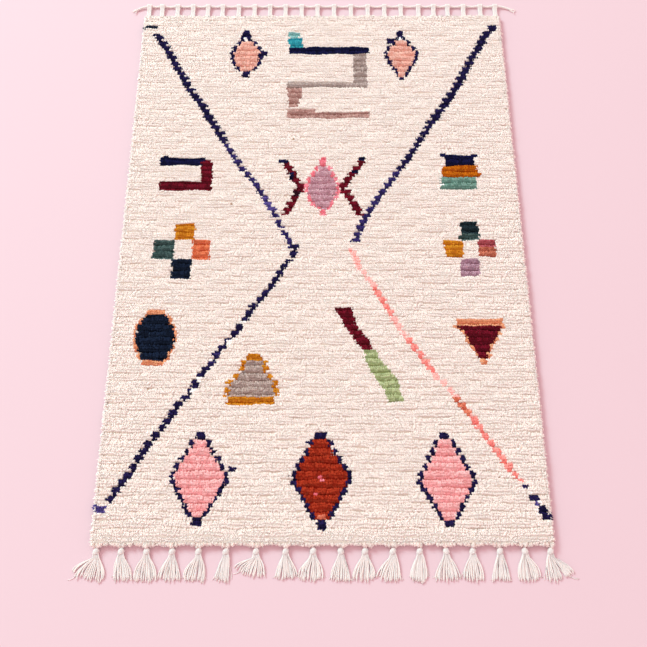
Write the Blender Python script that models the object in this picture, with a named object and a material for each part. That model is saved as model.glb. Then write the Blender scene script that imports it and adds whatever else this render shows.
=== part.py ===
"""A hand-knotted wool rug lying flat on the floor.

The pile field is one slab ribbed by its rows of knots. Eighteen knotted tassels come out
from under the pile at the fringe end. At the other end the warp comes out as short loops
that hold a heading cord.

Metres, +Z up. The origin is on the floor under the middle of the pile field, +Y runs
towards the heading cord, and +X is to the right when the heading cord is the far end.
"""

import math

import bmesh
import bpy
from mathutils import Vector

FIELD_WIDTH = 1.000
FIELD_LENGTH = 1.500
GAP = 0.0003  # between a piece and the piece that carries it

# The pile: rows of knots lie across the rug, and the first row is a broad soft roll.
ROWS = 80
FIRST_ROW = 0.0366
CREST = 0.0168
VALLEY = 0.0128
ROLL_FRONT = 0.0150  # height of the first row just behind the fringe edge
ROLL_FRONT_AT = 0.006
ROLL_TOP_AT = 0.024
HEADING_EDGE = 0.0140  # height of the last row just behind the heading edge
HEADING_EDGE_IN = 0.005
LUMP = 0.0011  # how far the height wanders along a row
WANDER = 0.0022  # how far a row's line wanders
ACROSS = 13  # even steps across the pile between its two rolled sides
TOP_EDGE_IN = 0.003
SIDE_ROLL = 0.012
SIDE_DROP = 0.0034

# The rim under the pile: an upper and a lower bulge, then the flat underside.
UPPER_RIM = 0.0100
LOWER_RIM = 0.0045
ROW_END = 0.0035  # how far the end of a row stands out past the side edge
BETWEEN_ROWS = -0.0005
ROW_END_UNEVEN = 0.0008
SIDE_BASE = FIELD_WIDTH / 2 - 0.0035

# The two end walls, where the warp comes out from under an overhanging roll of pile.
WALL_TOP = 0.0090
FRINGE_WALL = -FIELD_LENGTH / 2 + 0.004
HEADING_WALL = FIELD_LENGTH / 2 - 0.002
ROLL_HEIGHT = 0.0125
ROLL_AT_TASSEL = 0.005
ROLL_BETWEEN = 0.001
HEADING_ROLL = 0.0020
HEADING_ROLL_HEIGHT = 0.0115

# Tassels, left to right: the knot's place across the rug, the skirt's two sides at its
# tips, and how long the skirt's strands are from the knot.
TASSELS = (
    # knot x, left side, right side, strand length
    (-0.488, -0.538, -0.469, 0.048),
    (-0.434, -0.445, -0.408, 0.047),
    (-0.379, -0.404, -0.355, 0.048),
    (-0.324, -0.350, -0.303, 0.047),
    (-0.267, -0.297, -0.253, 0.047),
    (-0.208, -0.230, -0.200, 0.047),
    (-0.143, -0.187, -0.124, 0.040),
    (-0.079, -0.100, -0.055, 0.043),
    (-0.020, -0.050, 0.000, 0.047),
    (0.040, 0.017, 0.060, 0.048),
    (0.092, 0.065, 0.113, 0.047),
    (0.152, 0.116, 0.167, 0.048),
    (0.210, 0.190, 0.220, 0.048),
    (0.267, 0.240, 0.295, 0.047),
    (0.324, 0.300, 0.343, 0.047),
    (0.383, 0.362, 0.402, 0.048),
    (0.437, 0.420, 0.465, 0.048),
    (0.492, 0.480, 0.542, 0.048),
)
# A tassel's neck and knot: distance out from the fringe wall, half width, bottom, top.
KNOT_RINGS = (
    # out, half width, bottom, top
    (GAP, 0.0030, 0.0008, 0.0076),
    (0.0088, 0.0034, 0.0006, 0.0080),
    (0.0122, 0.0076, 0.0000, 0.0124),
    (0.0162, 0.0069, 0.0002, 0.0114),
    (0.0204, 0.0075, 0.0000, 0.0120),
    (0.0260, 0.0056, 0.0000, 0.0082),
)
STRANDS = 9
SKIRT_ROOT = 0.0310  # where the strands part, out from the fringe wall
SKIRT_ROOT_WIDTH = 0.017
STRAND_STEPS = 3
STRAND_HALF_WIDTH = 0.0015
STRAND_FILL = 0.43  # a strand's half width as a share of the room that it has
ROOT_NOTCH = 0.0020  # height of the notch between two strands at their roots
STRAND_HEIGHTS = (0.0062, 0.0050, 0.0040, 0.0028)
STRAND_STAGGER = 0.0012  # how far every other strand rides above its neighbours
STRAND_UNEVEN = 0.05  # how far a strand's length differs, as a share of it
LEAST_REACH = 0.45  # how far forward the most aslant strand reaches, as a share of its length
BELL = 0.5  # how much of a strand's flare comes near its root

# Warp loops, left to right, and the heading cord that they hold.
LOOP_PLACES = (
    -0.492, -0.455, -0.411, -0.367, -0.325, -0.283, -0.237, -0.192, -0.148, -0.104, -0.058,
    -0.013, 0.034, 0.082, 0.130, 0.177, 0.224, 0.274, 0.317, 0.357, 0.402, 0.450, 0.492,
)
CORD_Y = FIELD_LENGTH / 2 + 0.0415
CORD_RADIUS = 0.0034
CORD_SIDES = 6
CORD_SAG = 0.0010
CORD_WANDER = 0.0006  # how far the cord strays sideways between two loops
CORD_SWELL = 1.04  # how much thicker the cord's slack stretches are
CORD_UNEVEN = 0.05
LOOP_SIDES = 8
LOOP_RADIUS = 0.0064  # from the cord's middle to the flat outside of a loop
LOOP_HOLE = CORD_RADIUS + GAP
LOOP_HALF_WIDTH = 0.0060
LOOP_INSET = 0.0008  # how much narrower a loop is at its hole
LOOP_NECK_HALF_WIDTH = 0.0044
POST_HALF_WIDTH = 0.0035
POST_BOTTOM = 0.0012
POST_TOP = 0.0078
HELD_HALF_LENGTH = 0.0068  # the cord runs straight this far each way through a loop
# The cord's two free ends, from the last loop outwards.
LEFT_TAIL = ((-0.512, 0.7890, 0.0050), (-0.526, 0.7815, 0.0037), (-0.538, 0.7725, 0.0034))
RIGHT_TAIL = ((0.513, 0.7905, 0.0052), (0.532, 0.7845, 0.0037), (0.549, 0.7735, 0.0034))
TAIL_END_SHARE = 0.6  # the radius of a tail's tip as a share of the cord's

IVORY = (0.86, 0.78, 0.68, 1.0)
WARP_IVORY = (0.90, 0.83, 0.75, 1.0)


def wave(x, y, turn):
    """A smooth uneven value from -1 to 1, the same each time for a place on the rug."""
    slow = math.sin(23.0 * x + 87.0 * y + turn)
    quick = math.sin(61.0 * x - 131.0 * y + 2.3 * turn)
    return (slow + quick) / 2


def yarn_material(name, colour):
    """Matt wool of one colour."""
    material = bpy.data.materials.new(name)
    material.use_nodes = True
    shader = material.node_tree.nodes["Principled BSDF"]
    shader.inputs["Base Color"].default_value = colour
    shader.inputs["Roughness"].default_value = 0.95
    shader.inputs["Metallic"].default_value = 0.0
    return material


def add_object(name, bm, material):
    """Turns a closed bmesh into a smooth-shaded object of one material."""
    bmesh.ops.recalc_face_normals(bm, faces=bm.faces)
    mesh = bpy.data.meshes.new(name)
    bm.to_mesh(mesh)
    bm.free()
    mesh.shade_smooth()
    mesh.set_sharp_from_angle(angle=math.radians(50))
    mesh.materials.append(material)
    part = bpy.data.objects.new(name, mesh)
    bpy.context.scene.collection.objects.link(part)
    return part


def skin_between(bm, lower, upper):
    """Quads between two lines of the same number of points."""
    for i in range(len(lower) - 1):
        bm.faces.new((lower[i], lower[i + 1], upper[i + 1], upper[i]))


def skin_rings(bm, first, second):
    """Quads between two closed rings of the same number of points."""
    skin_between(bm, first + first[:1], second + second[:1])


def zip_lines(bm, first, first_at, second, second_at):
    """Triangles between two lines of points, each point with its measure along the line."""
    i, j = 0, 0
    while i < len(first) - 1 or j < len(second) - 1:
        take_first = j == len(second) - 1
        if i < len(first) - 1 and j < len(second) - 1:
            take_first = first_at[i + 1] <= second_at[j + 1]
        if take_first:
            bm.faces.new((first[i], first[i + 1], second[j]))
            i += 1
        else:
            bm.faces.new((first[i], second[j + 1], second[j]))
            j += 1


def across(points):
    """Each point's measure across the rug."""
    return [point.co.x for point in points]


def pile_lines():
    """Lines of points across the pile, from the fringe: (y, height, is it a crest, wander)."""
    start = -FIELD_LENGTH / 2
    pitch = (FIELD_LENGTH - FIRST_ROW) / ROWS
    lines = [(start + ROLL_FRONT_AT, ROLL_FRONT, True, 0), (start + ROLL_TOP_AT, CREST, True, 1)]
    for row in range(ROWS):
        valley = start + FIRST_ROW + row * pitch
        lines.append((valley, VALLEY, False, 1))
        lines.append((valley + pitch / 2, CREST, True, 1))
    lines.append((FIELD_LENGTH / 2 - HEADING_EDGE_IN, HEADING_EDGE, True, 0))
    return lines


def pile_columns():
    """The places across the pile, with one narrow step in each rolled side."""
    edge = FIELD_WIDTH / 2 - TOP_EDGE_IN
    inner = edge - SIDE_ROLL
    even = [inner * (2 * i / ACROSS - 1) for i in range(ACROSS + 1)]
    return [-edge, *even, edge]


def fringe_edge():
    """(x, how far the roll of pile reaches) along the fringe edge, furthest over each tassel."""
    knots = [row[0] for row in TASSELS]
    middles = [(a + b) / 2 for a, b in zip(knots, knots[1:])]
    reach = [(x, ROLL_AT_TASSEL) for x in knots] + [(x, ROLL_BETWEEN) for x in middles]
    return sorted(reach)


def side_rim(bm, side, lines):
    """The rim along one side as three lines of points, each from the fringe to the heading."""
    edge, wall = side * FIELD_WIDTH / 2, side * SIDE_BASE
    upper = [bm.verts.new((edge, -FIELD_LENGTH / 2 - ROLL_BETWEEN, ROLL_HEIGHT))]
    lower = [bm.verts.new((wall, FRINGE_WALL, WALL_TOP))]
    base = [bm.verts.new((wall, FRINGE_WALL, 0))]
    for y, _, crest, _ in lines[1:-1]:
        out = (ROW_END if crest else BETWEEN_ROWS) + ROW_END_UNEVEN * wave(side, y, 3.1)
        x = side * (FIELD_WIDTH / 2 + out)
        upper.append(bm.verts.new((x, y, UPPER_RIM)))
        lower.append(bm.verts.new((x - side * ROW_END_UNEVEN, y, LOWER_RIM)))
        base.append(bm.verts.new((wall, y, 0)))
    upper.append(bm.verts.new((edge, FIELD_LENGTH / 2, HEADING_ROLL_HEIGHT)))
    lower.append(bm.verts.new((wall, HEADING_WALL, WALL_TOP)))
    base.append(bm.verts.new((wall, HEADING_WALL, 0)))
    return upper, lower, base


def end_rim(bm, places, wall, left, right, end):
    """The rim along one end as three lines of points, between its two corner points."""
    upper = [bm.verts.new(place) for place in places]
    lower = [bm.verts.new((x, wall, WALL_TOP)) for x, _, _ in places]
    base = [bm.verts.new((x, wall, 0)) for x, _, _ in places]
    return [
        [left[k][end], *line, right[k][end]] for k, line in enumerate((upper, lower, base))
    ]


def build_pile():
    """The whole field as one closed slab: ribbed top, bulging rim, flat underside."""
    bm = bmesh.new()
    lines = pile_lines()
    columns = pile_columns()
    top = []
    for y, height, _, wander in lines:
        points = []
        for x in columns:
            drop = SIDE_DROP if x in (columns[0], columns[-1]) else 0
            place = (x, y + wander * WANDER * wave(x, y, 1.9), height - drop + LUMP * wave(x, y, 0.4))
            points.append(bm.verts.new(place))
        top.append(points)
    for near, far in zip(top, top[1:]):
        skin_between(bm, near, far)

    left, right = side_rim(bm, -1, lines), side_rim(bm, 1, lines)
    for side, edge in ((left, 0), (right, -1)):
        skin_between(bm, [points[edge] for points in top], side[0])
        skin_between(bm, side[0], side[1])
        skin_between(bm, side[1], side[2])

    roll = [(x, -FIELD_LENGTH / 2 - reach, ROLL_HEIGHT) for x, reach in fringe_edge()]
    fringe = end_rim(bm, roll, FRINGE_WALL, left, right, 0)
    zip_lines(bm, top[0], across(top[0]), fringe[0], across(fringe[0]))
    skin_between(bm, fringe[0], fringe[1])
    skin_between(bm, fringe[1], fringe[2])

    roll = [
        (x, FIELD_LENGTH / 2 + HEADING_ROLL * (1 + wave(x, 0.75, 5.0)) / 2, HEADING_ROLL_HEIGHT)
        for x in columns[1:-1]
    ]
    heading = end_rim(bm, roll, HEADING_WALL, left, right, -1)
    skin_between(bm, top[-1], heading[0])
    skin_between(bm, heading[0], heading[1])
    skin_between(bm, heading[1], heading[2])

    base_left, base_right = left[2], right[2]
    for end, next_in in ((fringe[2], 1), (heading[2], -2)):
        pair = [base_left[next_in], base_right[next_in]]
        zip_lines(bm, end, across(end), pair, across(pair))
    for j in range(1, len(lines) - 2):
        bm.faces.new((base_left[j], base_right[j], base_right[j + 1], base_left[j + 1]))
    return add_object("pile_field", bm, yarn_material("ivory_pile", IVORY))


def knot_ring(bm, centre_x, out, half_width, bottom, top):
    """Eight points round a tassel's neck or knot, from its left side under it and back over."""
    y = FRINGE_WALL - out
    tall = top - bottom
    outline = (
        (-1, 0.3), (-0.55, 0), (0.55, 0), (1, 0.3), (1, 0.7), (0.55, 1), (-0.55, 1), (-1, 0.7),
    )
    return [
        bm.verts.new((centre_x + across * half_width, y, bottom + up * tall))
        for across, up in outline
    ]


def strand_middle(root_x, tip_x, length, step):
    """The middle of a strand's base at one of its steps, flaring out like a bell."""
    along = step / STRAND_STEPS
    spread = along * (1 + BELL - BELL * along)
    aside = tip_x - root_x
    forward = math.sqrt(max(length**2 - aside**2, (LEAST_REACH * length) ** 2))
    return root_x + aside * spread, FRINGE_WALL - SKIRT_ROOT - forward * along


def build_tassel(name, material, centre_x, left, right, length):
    """A knot with its neck under the pile and a skirt of strands that lie on the floor."""
    bm = bmesh.new()
    rings = [knot_ring(bm, centre_x, *ring) for ring in KNOT_RINGS]
    bm.faces.new(rings[0])
    for first, second in zip(rings, rings[1:]):
        skin_rings(bm, first, second)

    root_pitch = SKIRT_ROOT_WIDTH / STRANDS
    tip_pitch = (right - left) / STRANDS
    strands = []
    for i in range(STRANDS):
        root_x = centre_x + root_pitch * (i + 0.5 - STRANDS / 2)
        tip_x = left + tip_pitch * (i + 0.5)
        own_length = length * (1 + STRAND_UNEVEN * wave(root_x, tip_x, 7.0))
        lift = STRAND_STAGGER * (i % 2)
        sections = []
        for step in range(STRAND_STEPS + 1):
            x, y = strand_middle(root_x, tip_x, own_length, step)
            room = root_pitch + (tip_pitch - root_pitch) * step / STRAND_STEPS
            half = min(STRAND_HALF_WIDTH, STRAND_FILL * room)
            peak = STRAND_HEIGHTS[step] + lift * (1 - step / STRAND_STEPS)
            sections.append([
                bm.verts.new((x - half, y, 0)),
                bm.verts.new((x + half, y, 0)),
                bm.verts.new((x, y, peak)),
            ])
        for first, second in zip(sections, sections[1:]):
            skin_rings(bm, first, second)
        bm.faces.new(sections[-1])
        strands.append(sections[0])

    notches = []
    for near, far in zip(strands, strands[1:]):
        place = ((near[1].co + far[0].co) / 2) + Vector((0, 0, ROOT_NOTCH))
        notch = bm.verts.new(place)
        bm.faces.new((near[1], notch, near[2]))
        bm.faces.new((near[1], far[0], notch))
        bm.faces.new((far[0], far[2], notch))
        notches.append(notch)

    under = [point for strand in strands for point in strand[:2]]
    over = [strands[-1][2]]
    for strand, notch in zip(strands[-2::-1], notches[::-1]):
        over += [notch, strand[2]]
    outline = under + over
    knot = rings[-1]
    outline_at = around(outline, len(under))
    knot_at = around(knot, 4)
    zip_lines(bm, knot + knot[:1], [*knot_at, 2.0], outline + outline[:1], [*outline_at, 2.0])
    return add_object(name, bm, material)


def around(points, under):
    """Each point's measure round its ring: 0 to 1 along the underside, 1 to 2 back over it."""
    low = min(p.co.x for p in points)
    wide = max(p.co.x for p in points) - low
    share = [(p.co.x - low) / wide for p in points]
    return share[:under] + [2 - s for s in share[under:]]


def build_warp_loop(name, material, x):
    """A post of warp from under the pile, ending in a loop round the heading cord."""
    bm = bmesh.new()

    def pair(y, z, half):
        return bm.verts.new((x - half, y, z)), bm.verts.new((x + half, y, z))

    flat = math.cos(math.pi / LOOP_SIDES)
    neck_top, neck_bottom = LOOP_SIDES // 2 - 1, LOOP_SIDES // 2
    outer, hole = [], []
    for i in range(LOOP_SIDES):
        angle = math.pi * (2 * i + 1) / LOOP_SIDES
        out, up = math.cos(angle) / flat, math.sin(angle) / flat
        half = LOOP_NECK_HALF_WIDTH if i in (neck_top, neck_bottom) else LOOP_HALF_WIDTH
        outer.append(pair(CORD_Y + LOOP_RADIUS * out, LOOP_RADIUS * (1 + up), half))
        hole.append(pair(CORD_Y + LOOP_HOLE * out, LOOP_RADIUS + LOOP_HOLE * up, half - LOOP_INSET))
    foot_y = HEADING_WALL + GAP
    foot_top = pair(foot_y, POST_TOP, POST_HALF_WIDTH)
    foot_bottom = pair(foot_y, POST_BOTTOM, POST_HALF_WIDTH)

    for i in range(LOOP_SIDES):
        j = (i + 1) % LOOP_SIDES
        bm.faces.new((hole[i][0], hole[i][1], hole[j][1], hole[j][0]))
        for side in (0, 1):
            bm.faces.new((outer[i][side], outer[j][side], hole[j][side], hole[i][side]))
    outline = [outer[(neck_bottom + i) % LOOP_SIDES] for i in range(LOOP_SIDES)]
    outline += [foot_top, foot_bottom]
    for first, second in zip(outline, outline[1:] + outline[:1]):
        bm.faces.new((first[0], first[1], second[1], second[0]))
    for side in (0, 1):
        bm.faces.new((foot_bottom[side], foot_top[side],
                      outer[neck_top][side], outer[neck_bottom][side]))
    return add_object(name, bm, material)


def cord_route():
    """(place, radius) along the heading cord: straight through each loop, slack between."""
    route = []
    for x, y, z in reversed(LEFT_TAIL):
        route.append((Vector((x, y, z)), CORD_RADIUS))
    middles = [(a + b) / 2 for a, b in zip(LOOP_PLACES, LOOP_PLACES[1:])]
    for i, x in enumerate(LOOP_PLACES):
        for end in (-1, 1):
            place = Vector((x + end * HELD_HALF_LENGTH, CORD_Y, LOOP_RADIUS))
            route.append((place, CORD_RADIUS))
        if i < len(middles):
            y = CORD_Y + CORD_WANDER * wave(middles[i], 0.8, 2.0)
            swell = CORD_SWELL + CORD_UNEVEN * wave(middles[i], 0.3, 4.0)
            route.append((Vector((middles[i], y, LOOP_RADIUS - CORD_SAG)), CORD_RADIUS * swell))
    for x, y, z in RIGHT_TAIL:
        route.append((Vector((x, y, z)), CORD_RADIUS))
    first, last = route[0], route[-1]
    route[0] = (first[0], first[1] * TAIL_END_SHARE)
    route[-1] = (last[0], last[1] * TAIL_END_SHARE)
    return route


def build_heading_cord(material):
    """The cord that runs through every warp loop, with its two free ends on the floor."""
    bm = bmesh.new()
    route = cord_route()
    rings = []
    for i, (place, radius) in enumerate(route):
        before = route[max(i - 1, 0)][0]
        after = route[min(i + 1, len(route) - 1)][0]
        forward = (after - before).normalized()
        if len(LEFT_TAIL) <= i < len(route) - len(RIGHT_TAIL):
            forward = Vector((1, 0, 0))
        aside = forward.cross(Vector((0, 0, 1))).normalized()
        up = aside.cross(forward)
        ring = []
        for k in range(CORD_SIDES):
            angle = 2 * math.pi * k / CORD_SIDES
            outward = math.cos(angle) * aside + math.sin(angle) * up
            ring.append(bm.verts.new(place + radius * outward))
        rings.append(ring)
    for first, second in zip(rings, rings[1:]):
        skin_rings(bm, first, second)
    bm.faces.new(rings[0])
    bm.faces.new(rings[-1])
    return add_object("heading_cord", bm, material)


def main():
    for old in list(bpy.data.objects):
        bpy.data.objects.remove(old, do_unlink=True)
    warp = yarn_material("ivory_warp", WARP_IVORY)
    build_pile()
    for number, row in enumerate(TASSELS, start=1):
        build_tassel(f"tassel_{number:02d}", warp, *row)
    for number, x in enumerate(LOOP_PLACES, start=1):
        build_warp_loop(f"warp_loop_{number:02d}", warp, x)
    build_heading_cord(warp)


main()
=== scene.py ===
"""The looks of a hand-knotted wool rug, built round its solids.

Every knot of the pile is a small clump of wool yarn ends that bend over towards the
fringe, dyed as a chart of the knots says. The tassels, the warp loops and the heading cord
are plied yarns. Metres, +Z up. The origin is on the floor under the middle of the pile,
+Y runs towards the heading cord and +X to the right.
"""

import math

import bpy
import numpy as np
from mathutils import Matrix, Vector

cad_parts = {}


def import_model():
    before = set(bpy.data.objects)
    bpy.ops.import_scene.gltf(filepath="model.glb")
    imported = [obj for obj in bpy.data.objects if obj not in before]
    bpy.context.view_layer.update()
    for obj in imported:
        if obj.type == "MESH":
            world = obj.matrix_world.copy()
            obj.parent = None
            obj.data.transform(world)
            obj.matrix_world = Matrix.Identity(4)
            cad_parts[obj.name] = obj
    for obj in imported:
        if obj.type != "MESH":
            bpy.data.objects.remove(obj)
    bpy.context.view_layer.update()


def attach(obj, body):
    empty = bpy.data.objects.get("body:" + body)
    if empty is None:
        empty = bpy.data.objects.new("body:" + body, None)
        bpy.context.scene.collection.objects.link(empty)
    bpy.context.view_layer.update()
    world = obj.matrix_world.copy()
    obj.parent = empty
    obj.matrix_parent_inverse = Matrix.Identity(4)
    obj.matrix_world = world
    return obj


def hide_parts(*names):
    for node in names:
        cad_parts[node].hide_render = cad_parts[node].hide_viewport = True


# The pile field and its rows of knots, as in the solids.
FIELD_WIDTH = 1.0
FIELD_LENGTH = 1.5
LEFT = -FIELD_WIDTH / 2
FRINGE_EDGE = -FIELD_LENGTH / 2
RIDGES = 80
ROLL_ROWS = 2  # the first two rows of knots lie together as one broad roll
KNOT_ROWS = RIDGES + ROLL_ROWS
ROW_PIECES = 5
ROLL_LENGTH = 0.0366
ROW_PITCH = (FIELD_LENGTH - ROLL_LENGTH) / RIDGES
LUMP = 0.0009  # how much the pile's height changes from place to place
WANDER = 0.0022  # how far the rows stray from straight
ROLL_AT_TASSEL = 0.0085  # how far the roll reaches past the fringe edge over a tassel
ROLL_BETWEEN = 0.0008  # and between two tassels
ROLL_SCALLOP = 1.7  # over 1 makes its reach over each tassel narrow
# Height of the body under the yarn ends of one ridge, as a share from its groove to its top.
BODY_RIDGE = (
    # along the ridge, height
    (0.00, 0.00), (0.10, 0.55), (0.34, 1.00), (0.70, 0.95), (0.90, 0.25), (1.00, 0.00),
)
BODY_LINES = (0.00, 0.10, 0.34, 0.70, 0.90)
BODY_TOP = 0.0138
GROOVE = 0.0102
GROOVE_FILLED = 0.75  # share of a groove's depth that is filled where the rows close
BODY_UNDER_ROLL = 0.0026  # how far the body lies below the top of the roll
BODY_INSET = 0.004
BODY_SHADE = 0.8  # share of the pile's painted shade on the body's ridges
GROOVE_SHADE = 1.5  # and in its grooves
# Height of the pile over the first roll, from the fringe edge.
ROLL_PROFILE = (
    # along, height
    (-0.008, 0.0105), (-0.003, 0.0126), (0.002, 0.0146), (0.008, 0.0160), (0.017, 0.0168),
    (0.029, 0.0168), (0.034, 0.0156), (ROLL_LENGTH, 0.0134),
)

# The chart of the knots: four places across a knot, and three rows for the ranks of its ends.
COLUMNS = 424
COLUMN = FIELD_WIDTH / COLUMNS
MIDDLES = (np.arange(COLUMNS) + 0.5) * COLUMN
KNOTS = 106  # in a row
KNOT = FIELD_WIDTH / KNOTS
RANKS_IN_ROW = 3
CHART_ROWS = KNOT_ROWS * RANKS_IN_ROW
CHART_ROW = ROW_PITCH / RANKS_IN_ROW
BEADS = (0.70, 1.20, 1.04)  # width of each rank where single knots make a line
KNOT_LEAN = 0.35  # a line of knots goes over in steps, and leans this much within a row
RAGGED = 0.0016  # how far the side of a dyed place strays

# Yarn ends of one knot, in ranks from the fringe side: two in each rank.
RANKS = (
    # root along the row, reach, radius, height
    (0.37, 0.0066, 0.0033, 0.0159),
    (0.67, 0.0062, 0.0034, 0.0168),
    (0.94, 0.0056, 0.0033, 0.0163),
)
OPEN_USUAL = 0.34  # how far the pile opens between two rows, from 0 to 1
OPEN_CHANGE = 0.8  # from place to place
FRONT_OPENS = 0.0028  # how much the front rank's reach changes where the rows part or close
BACK_OPENS = 0.0004  # how far the back rank stands off where the rows part
# A yarn end from its root to its tip: share of its reach, share of its rise, share of its radius.
END_SHAPE = ((0.00, 0.00, 1.00), (0.52, 0.86, 1.05), (1.00, 0.90, 0.0))
END_SIDES = 4
DEEP_SHADE_POWER = 0.40  # painted shade low in the pile: light that comes back from there has met its dye this much more
DEEP_SHADE_TINT = (1.0, 0.96, 0.88)  # the yellow tint of that painted shade
SHADE_OF_RANK = (0.34, 0.0, -0.08)  # painted shade: the front of a row of dyed knots lies in its shade
DEPTH_LIMITS = (0.62, 1.16)
DYED_UNEVEN = 0.11
UNDYED_UNEVEN = 0.012
ROOT_DEPTH = 0.0042  # how far below its top a yarn end is rooted
# How much the knots differ from each other, and the yarn ends of one knot.
KNOT_LIFT = 0.0002
KNOT_TURN = math.radians(9)
KNOT_SHIFT = 0.0006
END_LIFT = 0.0002
END_TURN = math.radians(7)
END_ACROSS = 0.0008
END_ALONG = 0.0005
REACH_UNEVEN = 0.09
RADIUS_UNEVEN = 0.07
EDGE_SHADE_UNEVEN = 0.03
# Tiers of yarn ends that point out of the pile's long sides, and out of its short sides.
SIDE_TIERS = (
    # height, reach
    (0.0125, 0.0060), (0.0100, 0.0070), (0.0078, 0.0066), (0.0058, 0.0054),
)
SIDE_ENDS = 3  # for each row of knots
SIDE_UNEVEN = (math.radians(16), 0.0005, 0.08)  # heading, height and radius
SIDE_RADIUS = 0.0030
SIDE_ROOT = 0.0055  # in from the pile's side
SIDE_RISE = 0.0008  # from an end's root to its top
ROW_REACH = 0.0042  # how much further the middle of a row reaches
ROW_LIFT = 0.0012
SHORT_TIERS = ((0.0122, 0.0056), (0.0100, 0.0040), (0.0074, 0.0024))
SHORT_UNEVEN = (math.radians(18), 0.0004, 0.10)
SHORT_RADIUS = 0.0046
SHORT_ROOT = 0.0050
SHORT_RISE = 0.0004
HEADING_REACH = 0.0012
GROUND_BOTTOM = 0.0003
GROUND_TOP = 0.0030

# Tassels, warp loops and heading cord, as in the solids.
FRINGE_WALL = FRINGE_EDGE + 0.004
HEADING_WALL = FIELD_LENGTH / 2 - 0.002
TASSELS = (
    # knot x, left side, right side, strand length
    (-0.488, -0.538, -0.469, 0.048),
    (-0.434, -0.445, -0.408, 0.047),
    (-0.379, -0.404, -0.355, 0.048),
    (-0.324, -0.350, -0.303, 0.047),
    (-0.267, -0.297, -0.253, 0.047),
    (-0.208, -0.230, -0.200, 0.047),
    (-0.143, -0.187, -0.124, 0.040),
    (-0.079, -0.100, -0.055, 0.043),
    (-0.020, -0.050, 0.000, 0.047),
    (0.040, 0.017, 0.060, 0.048),
    (0.092, 0.065, 0.113, 0.047),
    (0.152, 0.116, 0.167, 0.048),
    (0.210, 0.190, 0.220, 0.048),
    (0.267, 0.240, 0.295, 0.047),
    (0.324, 0.300, 0.343, 0.047),
    (0.383, 0.362, 0.402, 0.048),
    (0.437, 0.420, 0.465, 0.048),
    (0.492, 0.480, 0.542, 0.048),
)
YARN = 0.0014  # radius of a tassel's yarn
SKIRT_YARNS = 27
SKIRT_LAYERS = 3
SKIRT_START = 0.0200  # out from the fringe wall, inside the knot
SKIRT_START_WIDTH = 0.55  # as a share of its width where it leaves the knot
SKIRT_ROOT = 0.0310
SKIRT_ROOT_WIDTH = 0.0165
SKIRT_STEPS = 12
SKIRT_ROOT_STEPS = 3
LEAST_REACH = 0.45
LENGTH_UNEVEN = 0.06
PLACE_UNEVEN = 0.03
SKIRT_CURL = 0.0013
SKIRT_BULGE = (0.0022, 0.0018)  # usual, and how much it differs
TIP_RADIUS = 0.55  # as a share of the yarn's radius
WISPS = 3
WISP_YARN = 0.0008
WISP_SPLAY = (0.001, 0.007)
WISP_LENGTH = (0.75, 1.0)  # as a share of the tassel's
WISP_BOW = 0.004
WISP_STEPS = 9
BALL_OUT = 0.0172  # middle of the knot, out from the fringe wall
BALL_HALF = (0.0078, 0.0090, 0.0062)
BALL_WRAPS = 5
BALL_STEPS = 16  # in one wrap
WRAP_YARN = 0.0019
WRAP_TILT = math.radians(18)
CORE_RINGS = 9
NECK_YARN = 0.0018
NECK_YARNS = (
    # aside, height
    (-0.0012, 0.0030), (0.0012, 0.0030), (-0.0011, 0.0054), (0.0011, 0.0054),
)
NECK_ROOT = 0.004  # in from the fringe wall
NECK_LENGTH = 0.018
NECK_SPREAD = 20  # how much wider the neck gets over a metre
NECK_SLOPE = 0.08
LOOP_PLACES = (
    -0.492, -0.455, -0.411, -0.367, -0.325, -0.283, -0.237, -0.192, -0.148, -0.104, -0.058,
    -0.013, 0.034, 0.082, 0.130, 0.177, 0.224, 0.274, 0.317, 0.357, 0.402, 0.450, 0.492,
)
LOOP_YARN = 0.0017
LOOP_YARNS = 5
LOOP_WIDTH = 0.0094
LOOP_WIDTH_AT_CORD = 0.0124
LOOP_UNEVEN = 0.0002
LOOP_TURN = 140  # degrees round the cord to both sides
# The way of a loop's yarns from the pile to the cord, and back to the pile below.
LOOP_OUT = (
    # share of the width, out from the heading wall, height
    (1.7, -0.004, 0.0070), (1.4, 0.008, 0.0064), (1.1, 0.018, 0.0062), (1.1, 0.028, 0.0072),
)
LOOP_BACK = ((1.1, 0.028, 0.0032), (1.1, 0.018, 0.0026), (1.7, -0.004, 0.0026))
CORD_Y = FIELD_LENGTH / 2 + 0.0415
CORD_RADIUS = 0.0034
CORD_HEIGHT = 0.0064
CORD_SAG = 0.0027
CORD_WANDER = 0.0006
CORD_STEPS = 600
HELD_HALF_LENGTH = 0.0068
PLY_RADIUS = 0.00185
PLY_OUT = 0.0016  # from the middle of the cord to the middle of a ply
PLY_TURN = 0.017  # length of one turn of the plies
PLY_LOWEST = 0.0020
PLY_THINS = 0.45  # at a free end, as a share
LOOSE_LENGTH = 0.022  # of a free end, along which the plies part
LOOSE_SPREAD = 0.007
LEFT_TAIL = ((-0.512, 0.7890, 0.0050), (-0.526, 0.7815, 0.0037), (-0.538, 0.7725, 0.0034))
RIGHT_TAIL = ((0.513, 0.7905, 0.0052), (0.532, 0.7845, 0.0037), (0.549, 0.7735, 0.0034))

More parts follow.
